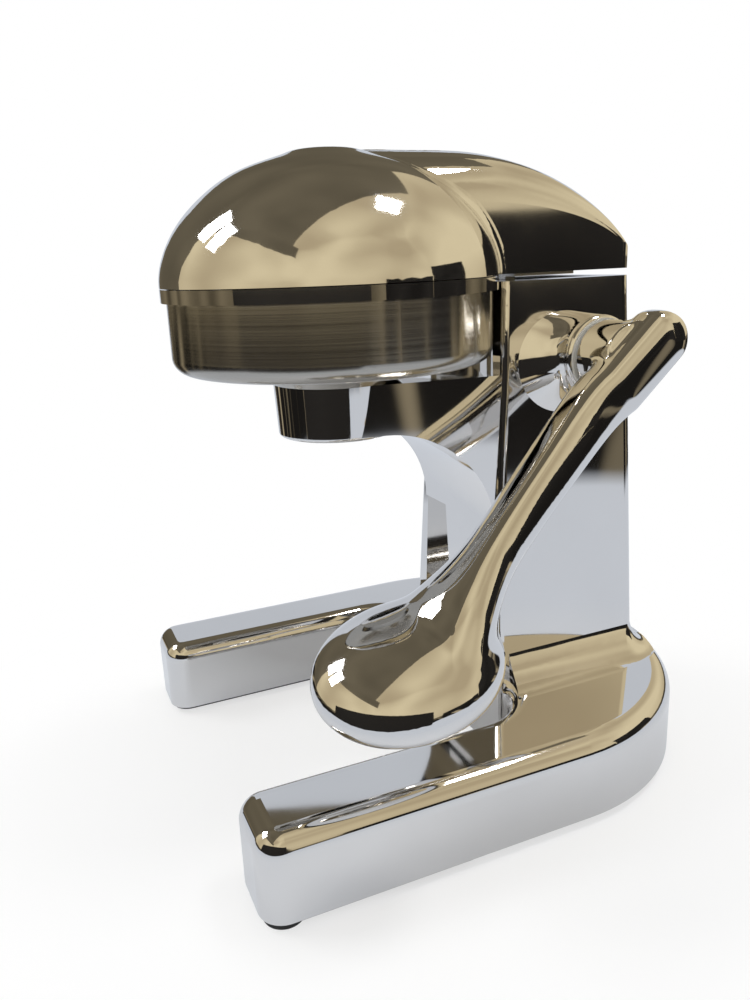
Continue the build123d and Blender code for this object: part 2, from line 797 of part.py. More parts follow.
def make_head_cover():
    head = make_dome() + make_head_block()
    crease = head.edges().filter_by(lambda edge: on_crease(edge))
    head = fillet(crease, crease_radius)
    cavity = make_dome(head_wall)
    rear_pocket = make_head_block(head_wall)
    mount_half = rack_flange[0] / 2 + 2
    mount = box_between(-mount_half, mount_half, rack_back_y - 3, rack_back_y + rack_flange[1],
                        rack_flange_low_z + rack_flange[2], head_low_z + dome_height)
    head -= cavity
    head -= rear_pocket - mount
    head += rod_z(cup_boss_radius, 0, press_y, cup_crown_z() + cup_wall,
                  head_low_z + dome_height - head_wall / 2)
    head -= rod_z(cup_screw_radius, 0, press_y, cup_crown_z(), cup_crown_z() + cup_screw_length)
    return head - make_rack_head_screws()


def on_crease(edge):
    """Edges where the dome runs into the hood."""
    low_enough = all(is_on_dome(edge @ share) for share in (0.25, 0.5, 0.75))
    return low_enough and (edge @ 0.5).Z > head_low_z + 0.5 and edge.length > 5


def is_on_dome(point):
    reach = sqrt(point.X ** 2 + (point.Y - press_y) ** 2) / rim_radius
    if reach >= 1:
        return reach < 1.01 and abs(point.Z - head_low_z) < 0.5
    dome_z = head_low_z + dome_height * (1 - reach ** (dome_fullness + 0.1)) ** (
        1 / dome_fullness)
    return abs(point.Z - dome_z) < 1.0


# ---------------------------------------------------------------- press cup
def cup_rim_z():
    return head_low_z + seat_gap


def cup_crown_z():
    return cup_rim_z() + cup_height


def make_press_cup():
    """Spun cup that presses the fruit half down, with a flange that closes the head."""
    flat = 9.0
    low = cup_rim_z()
    crown = cup_crown_z()
    inner = quarter_ellipse((flat, low), cup_radius - flat, cup_height)
    void = turned(inner + Polyline((flat, 0, crown), (0, 0, crown), (0, 0, low - 1),
                                   (cup_radius, 0, low - 1), (cup_radius, 0, low)))
    outer = quarter_ellipse((flat, low), cup_radius - flat + cup_wall, cup_height + cup_wall)
    body = turned(outer + Polyline((flat, 0, crown + cup_wall), (0, 0, crown + cup_wall),
                                   (0, 0, low), (cup_radius + cup_wall, 0, low)))
    body += rod_z(cup_flange_radius, 0, press_y, low, low + cup_wall)
    body -= void
    return body - rod_z(cup_screw_radius, 0, press_y, crown - 1, crown + cup_wall + 1)


def make_press_cup_screw():
    crown = cup_crown_z()
    head = rod_z(2 * cup_screw_radius, 0, press_y, crown - cup_screw_radius, crown)
    head = fillet(head.edges().sort_by(Axis.Z)[0], 1.5)
    return head + rod_z(cup_screw_radius, 0, press_y, crown, crown + cup_screw_length)


# ---------------------------------------------------------------- bowl and strainer
def make_juice_bowl():
    spout = ring_bore_radius - spout_gap
    side = bowl_side_radius
    floor = bowl_floor_z
    round_x = side - bowl_corner_radius
    round_z = floor + bowl_corner_radius
    collar_low = rim_top_z - collar_height
    wall_x = side - bowl_wall

    def corner(radius):
        diagonal = radius * sin(pi / 4)
        return ThreePointArc((round_x, 0, round_z - radius),
                             (round_x + diagonal, 0, round_z - diagonal),
                             (round_x + radius, 0, round_z))

    outline = Polyline((spout, 0, spout_low_z), (spout, 0, ring_top_z),
                       (sump_radius, 0, ring_top_z), (sump_radius + sump_slant, 0, floor),
                       (round_x, 0, floor))
    outline += corner(bowl_corner_radius)
    outline += Polyline((side, 0, round_z), (side, 0, collar_low), (rim_radius, 0, collar_low),
                        (rim_radius, 0, rim_top_z), (side, 0, rim_top_z), (side, 0, ledge_z),
                        (wall_x, 0, ledge_z), (wall_x, 0, round_z))
    outline += corner(bowl_corner_radius - bowl_wall)
    outline += Polyline((round_x, 0, floor + bowl_wall),
                        (sump_radius + sump_slant + 0.6, 0, floor + bowl_wall),
                        (sump_radius + 0.6, 0, ring_top_z + bowl_wall),
                        (spout - bowl_wall, 0, ring_top_z + bowl_wall),
                        (spout - bowl_wall, 0, spout_low_z), (spout, 0, spout_low_z))
    return turned(outline)


def dome_cap(radius, height, low_z):
    """Spherical cap that stands on a circle of the given radius."""
    ball_radius = (radius ** 2 + height ** 2) / (2 * height)
    middle = (ball_radius * sin(2 * atan(height / radius) / 2), 0,
              low_z + height - ball_radius * (1 - cos(2 * atan(height / radius) / 2)))
    arc = ThreePointArc((radius, 0, low_z), middle, (0, 0, low_z + height))
    return turned(arc + Polyline((0, 0, low_z + height), (0, 0, low_z), (radius, 0, low_z)))


def make_strainer_cone():
    """Pressed dome under the fruit, slotted on its slope and round its floor."""
    low = ledge_z
    body = dome_cap(cone_radius, cone_height, low + strainer_wall)
    body += rod_z(bowl_side_radius - strainer_gap, 0, press_y, low, low + strainer_wall)
    body -= dome_cap(cone_radius - strainer_wall, cone_height, low)
    floor_slot = box_between(cone_radius + floor_slot_rim, bowl_side_radius - bowl_wall
                             - floor_slot_rim, -slot_width / 2, slot_width / 2,
                             low - 1, low + strainer_wall + 1)
    cone_slot = box_between(cone_slot_start, cone_slot_end, -slot_width / 2, slot_width / 2,
                            low + strainer_wall + cone_slot_lift, low + 2 * cone_height)
    slots = [Pos(0, press_y, 0) * Rot(0, 0, 360 * index / count) * slot
             for slot, count in ((floor_slot, floor_slots), (cone_slot, cone_slots))
             for index in range(count)]
    return body - slots


# ---------------------------------------------------------------- cover, feet and screws
def make_base_cover_plate():
    low_z = cover_low_z
    reach = 2 * base_rear_y
    front = base_outline(cover_inset) & (Pos(0, cover_step_y - reach / 2) * Rectangle(reach, reach))
    place = Plane(origin=(0, 0, low_z))
    plate = (extrude(place * base_outline(cover_step_inset), amount=cover_thickness)
             + extrude(place * front, amount=cover_thickness))
    return plate - (make_base_cover_screws() + make_foot_screws())


def make_base_cover_screws():
    return [countersunk(x, y, cover_low_z, base_screw_length, small_screw_radius, up=False)
            for x, y in pillar_places()]


def make_rubber_feet():
    feet = []
    for x, y in foot_places():
        foot = rod_z(foot_radius, x, y, 0, cover_low_z)
        foot = fillet(foot.edges().sort_by(Axis.Z)[0], foot_edge_round)
        foot -= rod_z(2 * small_screw_radius, x, y, 0, foot_screw_sink)
        foot -= countersunk(x, y, foot_screw_sink, base_screw_length, small_screw_radius, up=False)
        feet.append(foot)
    return feet


def make_foot_screws():
    return [countersunk(x, y, foot_screw_sink, base_screw_length, small_screw_radius, up=False)
            for x, y in foot_places()]


def make_rack_guide_screws():
    return [countersunk(x, y, column_top_z, guide_screw_length, small_screw_radius)
            for x, y in guide_screw_places()]


# ---------------------------------------------------------------- assembly
def one_node(label, solids):
    """A node of one solid, or of several separate solids that are alike, in the finished frame."""
    place = Pos(stand_plane_x, 0, 0)
    if not isinstance(solids, list):
        return place * solids
    return Compound(label=label, children=[place * solid for solid in solids])


def main():
    nodes = {
        "body_casting": make_body_casting(),
        "base_cover_plate": make_base_cover_plate(),
        "base_cover_screws": make_base_cover_screws(),
        "rubber_feet": make_rubber_feet(),
        "foot_screws": make_foot_screws(),
        "shaft_bush_left": make_bush(left_bore_end_x, -inner_boss_x),
        "shaft_bush_right": make_bush(inner_boss_x, boss_end_x),
        "pinion_shaft": make_pinion_shaft(),
        "pinion_gear": make_pinion_gear(),
        "pinion_drive_pin": make_pinion_drive_pin(),
        "lever_thrust_washer": make_lever_thrust_washer(),
        "lever_arm": make_lever_arm(),
        "lever_set_screw": make_lever_set_screw(),
        "rack_bar": make_rack_bar(),
        "rack_stop_pin": stop_pin_hole(),
        "rack_guide_block": make_rack_guide_block(),
        "rack_guide_screws": make_rack_guide_screws(),
        "rack_head_screws": make_rack_head_screws(),
        "head_cover": make_head_cover(),
        "press_cup": make_press_cup(),
        "press_cup_screw": make_press_cup_screw(),
        "juice_bowl": make_juice_bowl(),
        "strainer_cone": make_strainer_cone(),
    }
    os.makedirs("parts", exist_ok=True)
    for label, solids in nodes.items():
        node = one_node(label, solids)
        node.label = label
        export_step(node, f"parts/{label}.step")


if __name__ == "__main__":
    main()
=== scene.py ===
from math import cos, pi, radians, sin

import bpy
from bpy.props import FloatProperty, FloatVectorProperty, PointerProperty
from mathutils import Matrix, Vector


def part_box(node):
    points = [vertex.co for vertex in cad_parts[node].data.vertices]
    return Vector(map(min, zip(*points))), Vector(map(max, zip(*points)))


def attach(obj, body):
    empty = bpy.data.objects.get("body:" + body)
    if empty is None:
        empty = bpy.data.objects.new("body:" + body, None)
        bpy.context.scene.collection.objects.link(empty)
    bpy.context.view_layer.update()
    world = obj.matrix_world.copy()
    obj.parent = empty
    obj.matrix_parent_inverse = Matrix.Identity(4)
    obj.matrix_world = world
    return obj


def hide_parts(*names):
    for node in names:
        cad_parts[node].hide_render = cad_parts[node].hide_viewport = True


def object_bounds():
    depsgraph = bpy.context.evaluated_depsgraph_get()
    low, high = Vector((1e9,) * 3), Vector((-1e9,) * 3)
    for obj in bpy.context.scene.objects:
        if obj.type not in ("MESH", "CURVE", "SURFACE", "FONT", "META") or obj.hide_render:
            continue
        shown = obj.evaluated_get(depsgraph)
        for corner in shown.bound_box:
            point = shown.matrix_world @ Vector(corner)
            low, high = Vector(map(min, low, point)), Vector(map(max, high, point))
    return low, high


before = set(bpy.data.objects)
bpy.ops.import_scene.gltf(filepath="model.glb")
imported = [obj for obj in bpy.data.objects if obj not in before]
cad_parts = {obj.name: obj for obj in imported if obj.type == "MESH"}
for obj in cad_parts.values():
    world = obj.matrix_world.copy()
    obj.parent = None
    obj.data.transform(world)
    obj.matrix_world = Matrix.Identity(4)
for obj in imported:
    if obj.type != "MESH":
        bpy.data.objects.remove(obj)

bl_info = {
    "name": "Lever Citrus Press",
    "version": (1, 0, 0),
    "blender": (4, 5, 0),
    "location": "3D View > Sidebar > Press",
    "description": "Dresses the lever citrus press: chromed castings, brushed bowl "
                   "and rubber feet",
    "category": "Object",
}

CAD_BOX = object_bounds()
BOWL_LOW, BOWL_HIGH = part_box("juice_bowl")
PRESS_X = (BOWL_LOW.x + BOWL_HIGH.x) / 2
FLOOR_GAP = 0.0002
FLOOR_Z = CAD_BOX[0][2] - FLOOR_GAP
WHITE = (1, 1, 1)

# The bowl's wall is brushed between these depths below its rim.
BRUSHED_FOOT = 0.040
BRUSHED_TOP = 0.0045
BRUSHED_FADE = 0.0012

# Rounds of smoothing on the lever, where neck meets palm and all over.
SMOOTHING = 0.5
BLEND_ROUNDS = 260
POLISH_ROUNDS = 14
MERGE_DISTANCE = 0.000001

# Painted shade: the sheet, as the metal mirrors it, is darkened under the press between these
# distances, where the press shades it.
PAINTED_SHADE_REACH = (0.05, 0.12)
PAINTED_SHADE_SHARE = 0.35
# The sheet turns from lit paper into plain white between these distances.
SHEET_FADE = (0.09, 0.24)
SHEET_GLOW = (0.62, 1.0)
FLOOR_SIZE = 14

# The dark ground, a painted reflection, lies just over the sheet, and its inner edge is soft.
APRON_LIFT = 0.002
FRONT_LIFT = 0.003
APRON_SOFT_EDGE = 1.2
APRON_SIDEWAYS = 0.8

# A pale stretch of ceiling: painted light, seen only in the metal.
PALE_CEILING_TURN = radians(31)
PALE_CEILING_START = 0.50
PALE_CEILING_DROP = 0.01
WORLD_LIGHT = 0.6

CAMERA_PLACE = (PRESS_X + 0.3, -0.1488, 0.2037)
CAMERA_TURN = (radians(73.755), radians(2.218), radians(66.188))
CAMERA_LENS = 29.9
CAMERA_SENSOR = 36

LAMP_AIM = Vector((0, 0, 0.12))
# Name, place, width and height, and power of each soft lamp.
LAMPS = (("key_left", (-1.05, -1.15, 1.5), (0.36, 0.62), 8),
         ("key_right", (-0.70, -1.45, 1.5), (0.36, 0.62), 8),
         ("fill", (0.17, 0.80, 1.95), (0.44, 0.34), 12))


# ---------------------------------------------------------------- values

def colour_property(name, description, default):
    return FloatVectorProperty(name=name, description=description, default=default,
                               subtype="COLOR", size=3, min=0, max=1)


def length_property(name, description, default):
    return FloatProperty(name=name, description=description, default=default,
                         unit="LENGTH", min=0)


def share_property(name, description, default):
    return FloatProperty(name=name, description=description, default=default,
                         subtype="FACTOR", min=0, max=1)


class PressLook(bpy.types.PropertyGroup):
    """Colours and surfaces of the press"""
    chrome_tint: colour_property("Chrome tint", "Colour of the polished plating",
                                 (0.80, 0.785, 0.765))
    chrome_haze: share_property("Chrome haze", "Roughness of the polished plating", 0.045)
    chrome_wave: length_property("Chrome wave", "Height of the long waves left by polishing",
                                 0.00009)
    bowl_tint: colour_property("Bowl tint", "Colour of the bowl's steel", (0.46, 0.44, 0.40))
    bowl_roughness: share_property("Bowl roughness", "Roughness of the brushed wall", 0.13)
    bowl_brush: length_property("Brush depth", "Depth of the brushed lines", 0.00003)
    steel_tint: colour_property("Steel tint", "Colour of bare and zinc-plated steel",
                                (0.60, 0.59, 0.58))
    steel_roughness: share_property("Steel roughness", "Roughness of the inner steel", 0.24)
    steel_wave: length_property("Steel wave", "Height of the waves on steel and brass",
                                0.00001)
    brass_tint: colour_property("Brass tint", "Colour of the bushes", (0.70, 0.53, 0.27))
    nylon_colour: colour_property("Nylon colour", "Colour of the guide block and washer",
                                  (0.78, 0.77, 0.72))
    cover_colour: colour_property("Cover colour", "Colour of the base cover",
                                  (0.022, 0.020, 0.026))
    rubber_colour: colour_property("Rubber colour", "Colour of the feet",
                                   (0.014, 0.014, 0.014))


class PressLever(bpy.types.PropertyGroup):
    """Sizes of the lever's polished blends"""
    grid: length_property("Grid", "Size of the skin's cells", 0.0008)
    blend_reach: length_property("Blend reach", "Radius of the stretch where neck meets palm",
                                 0.040)
    blend_core: length_property("Blend core", "Radius inside which it is blended fully", 0.018)
    blend_forward: length_property("Blend forward",
                                   "Blend's middle, from the palm's front tip", 0.040)
    blend_up: length_property("Blend up", "Blend's middle, from the palm's lowest point", 0.026)


class PressStage(bpy.types.PropertyGroup):
    """Sizes and colours of the studio"""
    sheet_radius: length_property("Sheet radius", "Reach of the white sheet under the press",
                                  0.50)
    sheet_front: length_property("Sheet front", "How far the white sheet reaches in front",
                                 0.30)
    sheet_shift: length_property("Sheet shift", "How far the sheet lies towards the lever",
                                 0.09)
    room_reach: length_property("Room reach", "Distance of the reflected walls", 2.6)
    room_height: length_property("Room height", "Height of the reflected ceiling", 3.8)
    # Above this height the near wall takes painted shade.
    near_wall_height: length_property("Near wall height", "Height where the near wall darkens",
                                      2.8)
    dado_height: length_property("Dado height", "Height of the dark foot of the walls", 0.18)
    shelf_height: length_property("Shelf height", "Height of the dark shelf by the lever", 0.32)
    cupboard_height: length_property("Cupboard height", "Height of the dark cupboard", 0.80)
    backdrop_height: length_property("Backdrop height", "Height of the white sheet behind",
                                     0.36)
    screen_height: length_property("Screen height", "Height of the dark screen in front", 0.19)
    sheet_colour: colour_property("Sheet colour", "Colour of the white sheet",
                                  (0.93, 0.93, 0.93))
    # The sheet, as the metal mirrors it, glows in this colour: a painted reflection.
    sheet_mirrored: colour_property("Mirrored sheet", "Colour of the sheet in the metal",
                                    (0.66, 0.70, 0.77))
    # These colours glow in cards seen only in the metal, as painted reflections; the ceiling
    # colour is painted shade.
    wall_colour: colour_property("Wall colour", "Colour of the reflected walls",
                                 (0.78, 0.67, 0.44))
    wall_shade: colour_property("Wall shade", "Darker stretches of the walls",
                                (0.50, 0.41, 0.26))
    ceiling_colour: colour_property("Ceiling colour", "Colour of the reflected ceiling",
                                    (0.165, 0.140, 0.095))
    dark_colour: colour_property("Dark colour", "Colour of the dark ground",
                                 (0.012, 0.011, 0.010))
    ray_colour: colour_property("Ray colour", "Lighter stretches of the dark ground",
                                (0.42, 0.35, 0.23))


# ---------------------------------------------------------------- finishes

def link(tree, *pairs):
    for out_socket, in_socket in pairs:
        tree.links.new(out_socket, in_socket)


def node_tree(owner):
    owner.use_nodes = True
    return owner.node_tree


def operated(tree, kind, operation):
    """Math or Vector Math node that does one operation."""
    node = tree.nodes.new(kind)
    node.operation = operation
    return node


def new_finish(name):
    """Node material with its shader and Object coordinates ready."""
    material = bpy.data.materials.new(name)
    tree = node_tree(material)
    place = tree.nodes.new("ShaderNodeTexCoord").outputs["Object"]
    return material, tree, tree.nodes["Principled BSDF"], place


def stretched(tree, place, scale):
    """Coordinates scaled along each axis."""
    mapping = tree.nodes.new("ShaderNodeMapping")
    mapping.inputs["Scale"].default_value = scale
    link(tree, (place, mapping.inputs["Vector"]))
    return mapping.outputs["Vector"]


def noise(tree, place, scale, detail):
    """Soft patches, between 0 and 1."""
    texture = tree.nodes.new("ShaderNodeTexNoise")
    texture.inputs["Scale"].default_value = scale
    texture.inputs["Detail"].default_value = detail
    link(tree, (place, texture.inputs["Vector"]))
    return texture.outputs["Fac"]


def ranged(tree, value, span=(0, 1), to=(0, 1)):
    """The span of a value, spread over the range that it goes to."""
    spread = tree.nodes.new("ShaderNodeMapRange")
    for name, setting in zip(("From Min", "From Max", "To Min", "To Max"), (*span, *to)):
        spread.inputs[name].default_value = setting
    link(tree, (value, spread.inputs["Value"]))
    return spread.outputs["Result"]


def colour_mix(tree, value, first):
    """Mix node that goes from a first colour to the colour in its input B."""
    mix = tree.nodes.new("ShaderNodeMix")
    mix.data_type = "RGBA"
    mix.inputs["A"].default_value = (*first, 1)
    link(tree, (value, mix.inputs["Factor"]))
    return mix


def shaded(tree, value, dark, light):
    """Colour between dark and light."""
    mix = colour_mix(tree, value, dark)
    mix.inputs["B"].default_value = (*light, 1)
    return mix.outputs["Result"]


def bumped(tree, shader, height, strength, distance):
    """Gives the shader a relief from a height."""
    bump = tree.nodes.new("ShaderNodeBump")
    bump.inputs["Strength"].default_value = strength
    bump.inputs["Distance"].default_value = distance
    link(tree, (height, bump.inputs["Height"]),
         (bump.outputs["Normal"], shader.inputs["Normal"]))


def tinted(colour, share):
    return tuple(channel * share for channel in colour)


def plated_finish(name, tint, haze, wave):
    """Plate over polished metal: a faint long wave, haze in patches."""
    material, tree, shader, place = new_finish(name)
    shader.inputs["Metallic"].default_value = 1.0
    patches = noise(tree, place, scale=26.0, detail=4.0)
    haze_range = (haze * 0.6, haze * 1.7)
    link(tree, (ranged(tree, patches, span=(0.3, 0.75), to=haze_range),
                shader.inputs["Roughness"]),
         (shaded(tree, ranged(tree, patches, span=(0.35, 0.7)), tinted(tint, 0.97), tint),
          shader.inputs["Base Color"]))
    waves = noise(tree, place, scale=30.0, detail=1.0)
    bumped(tree, shader, waves, strength=0.5, distance=wave)
    return material


def height_mask(tree, place, low, high, fade):
    """1 between two heights, 0 outside them."""
    split = tree.nodes.new("ShaderNodeSeparateXYZ")
    product = operated(tree, "ShaderNodeMath", "MULTIPLY")
    height = split.outputs["Z"]
    link(tree, (place, split.inputs[0]),
         (ranged(tree, height, span=(low, low + fade)), product.inputs[0]),
         (ranged(tree, height, span=(high - fade, high), to=(1, 0)), product.inputs[1]))
    return product.outputs[0]


def bowl_finish(look):
    """Spun bowl: fine brushed rings on the wall, polished bead and underside."""
    material, tree, shader, place = new_finish("brushed_bowl")
    shader.inputs["Metallic"].default_value = 1.0
    shader.inputs["Anisotropic"].default_value = 0.8
    shader.inputs["Anisotropic Rotation"].default_value = 0.25
    tangent = tree.nodes.new("ShaderNodeTangent")
    tangent.direction_type = "RADIAL"
    tangent.axis = "Z"
    rim = BOWL_HIGH.z
    wall = height_mask(tree, place, rim - BRUSHED_FOOT, rim - BRUSHED_TOP, BRUSHED_FADE)
    rings = noise(tree, stretched(tree, place, (6.0, 6.0, 2600.0)), scale=1.0, detail=3.0)
    rough_range = (look.bowl_roughness * 0.75, look.bowl_roughness * 1.25)
    rough = ranged(tree, rings, span=(0.3, 0.7), to=rough_range)
    blend = operated(tree, "ShaderNodeMath", "MULTIPLY_ADD")
    blend.inputs[2].default_value = look.chrome_haze
    brushed = operated(tree, "ShaderNodeMath", "MULTIPLY")
    link(tree, (tangent.outputs["Tangent"], shader.inputs["Tangent"]),
         (rough, blend.inputs[0]), (wall, blend.inputs[1]),
         (blend.outputs[0], shader.inputs["Roughness"]),
         (shaded(tree, wall, look.chrome_tint, look.bowl_tint), shader.inputs["Base Color"]),
         (rings, brushed.inputs[0]), (wall, brushed.inputs[1]))
    bumped(tree, shader, brushed.outputs[0], strength=0.12, distance=look.bowl_brush)
    return material


def grained_finish(name, colour, roughness, scale, depth):
    """Moulded plastic or rubber with a fine grain."""
    material, tree, shader, place = new_finish(name)
    grain = noise(tree, place, scale, detail=3.0)
    link(tree, (ranged(tree, grain, to=roughness), shader.inputs["Roughness"]),
         (shaded(tree, grain, tinted(colour, 0.8), colour), shader.inputs["Base Color"]))
    bumped(tree, shader, grain, strength=0.4, distance=depth)
    return material


def dress(piece, material):
    """Gives a piece this finish all over."""
    piece.data.materials.clear()
    piece.data.materials.append(material)


def deselect_all():
    bpy.ops.object.select_all(action="DESELECT")


# ---------------------------------------------------------------- lever

def copy_of_node(node, name):
    """New piece that starts from a CAD node's mesh, its loose triangles merged."""
    deselect_all()
    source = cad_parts[node]
    source.select_set(True)
    bpy.context.view_layer.objects.active = source
    bpy.ops.object.duplicate()
    piece = bpy.context.object
    piece.name = name
    bpy.ops.object.mode_set(mode="EDIT")
    bpy.ops.mesh.select_all(action="SELECT")
    bpy.ops.mesh.remove_doubles(threshold=MERGE_DISTANCE)
    bpy.ops.object.mode_set(mode="OBJECT")
    return piece


def apply_modifier(piece, name, kind, **settings):
    modifier = piece.modifiers.new(name, kind)
    for setting, value in settings.items():
        setattr(modifier, setting, value)
    bpy.ops.object.modifier_apply(modifier=name)


def weigh_ball(piece, name, middle, core, reach):
    """Vertex group that fades from a ball's core to its reach."""
    group = piece.vertex_groups.new(name=name)
    for vertex in piece.data.vertices:
        distance = (vertex.co - middle).length
        if distance < reach:
            share = min(1, (reach - distance) / (reach - core))
            group.add([vertex.index], share * share * (3 - 2 * share), "REPLACE")


def make_lever(lever):
    """Lever as cast and polished: its hub, neck and palm run into each other."""
    low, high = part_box("lever_arm")
    piece = copy_of_node("lever_arm", "lever_skin")
    apply_modifier(piece, "skin", "REMESH", mode="VOXEL", voxel_size=lever.grid)
    middle = Vector((high.x - lever.blend_up, low.y + lever.blend_forward,
                     low.z + lever.blend_up))
    weigh_ball(piece, "blend", middle, lever.blend_core, lever.blend_reach)
    apply_modifier(piece, "blend_smooth", "SMOOTH", factor=SMOOTHING,
                   iterations=BLEND_ROUNDS, vertex_group="blend")
    apply_modifier(piece, "polish", "SMOOTH", factor=SMOOTHING, iterations=POLISH_ROUNDS)
    piece.vertex_groups.clear()
    bpy.ops.object.shade_smooth()
    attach(piece, "handle")
    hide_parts("lever_arm")


# ---------------------------------------------------------------- stage

def add_stage_sheet(name, size, location, rotation=(0, 0, 0)):
    """Flat sheet that belongs to the studio."""
    deselect_all()
    bpy.ops.mesh.primitive_plane_add(size=1, location=location, rotation=rotation)
    sheet = bpy.context.object
    sheet.name = name
    sheet.scale = (*size, 1)
    return sheet


def background_rays(tree):
    """1 where the camera, metal or glass shows a background, and where metal does."""
    path = tree.nodes.new("ShaderNodeLightPath")
    seen = path.outputs["Is Camera Ray"]
    mirrored = path.outputs["Is Glossy Ray"]
    for ray in (mirrored, path.outputs["Is Transmission Ray"]):
        either = operated(tree, "ShaderNodeMath", "MAXIMUM")
        link(tree, (seen, either.inputs[0]), (ray, either.inputs[1]))
        seen = either.outputs[0]
    return seen, mirrored


def place_in_room(tree):
    return tree.nodes.new("ShaderNodeNewGeometry").outputs["Position"]


def glowing(name):
    """Material that glows evenly, for painted reflections, with its Emission node and the place
    in the room.
    """
    material = bpy.data.materials.new(name)
    tree = node_tree(material)
    tree.nodes.remove(tree.nodes["Principled BSDF"])
    glow = tree.nodes.new("ShaderNodeEmission")
    link(tree, (glow.outputs[0], tree.nodes["Material Output"].inputs[0]))
    return material, tree, glow, place_in_room(tree)


def card_material(name, colours, scale, edges):
    """Glowing card for painted reflections, mottled between two colours."""
    material, tree, glow, place = glowing(name)
    blotch = noise(tree, stretched(tree, place, scale), scale=1.0, detail=1.0)
    link(tree, (shaded(tree, ranged(tree, blotch, span=edges), *colours),
                glow.inputs["Color"]))
    return material


def only_reflected(card, material):
    """A card that shows in polished metal and nowhere else: a glowing painted reflection."""
    card.data.materials.append(material)
    card.visible_camera = False
    card.visible_diffuse = False
    card.visible_shadow = False


def make_floor(stage):
    """Pale floor, white in the distance, that keeps the shadow near the press; in the metal it
    shows painted shade under the press.
    """
    material = bpy.data.materials.new("pale_floor")
    tree = node_tree(material)
    shader = tree.nodes["Principled BSDF"]
    shader.inputs["Base Color"].default_value = (*stage.sheet_colour, 1)
    shader.inputs["Roughness"].default_value = 0.9
    glow = tree.nodes.new("ShaderNodeEmission")
    mix = tree.nodes.new("ShaderNodeMixShader")
    distance = operated(tree, "ShaderNodeVectorMath", "LENGTH")
    fade = operated(tree, "ShaderNodeMath", "MULTIPLY")
    seen, mirrored = background_rays(tree)
    tone = colour_mix(tree, mirrored, WHITE)
    away = distance.outputs["Value"]
    link(tree, (place_in_room(tree), distance.inputs[0]),
         # Painted shade: the mirrored sheet is darker close to the press.
         (shaded(tree, ranged(tree, away, span=PAINTED_SHADE_REACH),
                 tinted(stage.sheet_mirrored, PAINTED_SHADE_SHARE), stage.sheet_mirrored),
          tone.inputs["B"]),
         (tone.outputs["Result"], glow.inputs["Color"]),
         (ranged(tree, away, span=SHEET_FADE, to=SHEET_GLOW), fade.inputs[0]),
         (seen, fade.inputs[1]), (fade.outputs[0], mix.inputs[0]),
         (shader.outputs[0], mix.inputs[1]), (glow.outputs[0], mix.inputs[2]),
         (mix.outputs[0], tree.nodes["Material Output"].inputs[0]))
    floor = add_stage_sheet("floor", (FLOOR_SIZE, FLOOR_SIZE), (0, 0, FLOOR_Z))
    floor.data.materials.append(material)


def make_apron(stage):
    """Dark ground round the white sheet, in rays, soft at its inner edge: a glowing painted
    reflection, seen only in the metal.
    """
    radius = stage.sheet_radius
    middle = (stage.sheet_shift, APRON_SIDEWAYS * stage.sheet_shift, FLOOR_Z + APRON_LIFT)
    material, tree, glow, place = glowing("dark_ground_reflection")
    distance = operated(tree, "ShaderNodeVectorMath", "DISTANCE")
    distance.inputs[1].default_value = middle
    heading = operated(tree, "ShaderNodeVectorMath", "NORMALIZE")
    rays = noise(tree, heading.outputs["Vector"], scale=4.5, detail=3.0)
    edge = colour_mix(tree, ranged(tree, distance.outputs["Value"],
                                   span=(radius, APRON_SOFT_EDGE * radius)),
                      stage.sheet_mirrored)
    link(tree, (place, distance.inputs[0]), (place, heading.inputs[0]),
         (shaded(tree, ranged(tree, rays, span=(0.52, 0.60)), stage.dark_colour,
                 stage.ray_colour), edge.inputs["B"]),
         (edge.outputs["Result"], glow.inputs["Color"]))
    deselect_all()
    bpy.ops.mesh.primitive_circle_add(vertices=96, radius=radius, location=middle)
    apron = bpy.context.object
    apron.name = "dark_apron"
    bpy.ops.object.mode_set(mode="EDIT")
    bpy.ops.mesh.select_all(action="SELECT")
    bpy.ops.mesh.extrude_region_move()
    outwards = stage.room_reach * 2 / radius
    bpy.ops.transform.resize(value=(outwards, outwards, 1))
    bpy.ops.object.mode_set(mode="OBJECT")
    only_reflected(apron, material)
    front = stage.room_reach - stage.sheet_front
    only_reflected(add_stage_sheet("dark_front", (2 * stage.room_reach, front),
                                   (0, -stage.sheet_front - front / 2,
                                    FLOOR_Z + FRONT_LIFT)), material)


def make_walls(stage, wall, shade):
    """Four walls on a dark foot, pale on the lever's side and darker, in painted shade, on the
    other.
    """
    reach, height, dado = stage.room_reach, stage.room_height, stage.dado_height
    bands = card_material("banded_wall", (tinted(stage.wall_shade, 0.15),
                                          tinted(stage.wall_shade, 0.5)),
                          scale=(1.2, 1.2, 0.1), edges=(0.35, 0.75))
    foot, pale, dim = (0, dado, bands), (dado, height, wall), (dado, height, shade)
    # Above its set height the near wall takes painted shade.
    near = ((dado, stage.near_wall_height, wall), (stage.near_wall_height, height, shade))
    sides = ((1, 0, 90, (foot, pale)), (0, 1, 180, (foot, pale)),
             (-1, 0, 270, (foot, dim)), (0, -1, 0, (foot, *near)))
    for index, (x, y, turn, levels) in enumerate(sides):
        for low, high, material in levels:
            only_reflected(add_stage_sheet(f"wall_{index}", (2 * reach, high - low),
                                           (x * reach, y * reach, (low + high) / 2),
                                           (pi / 2, 0, radians(turn))), material)


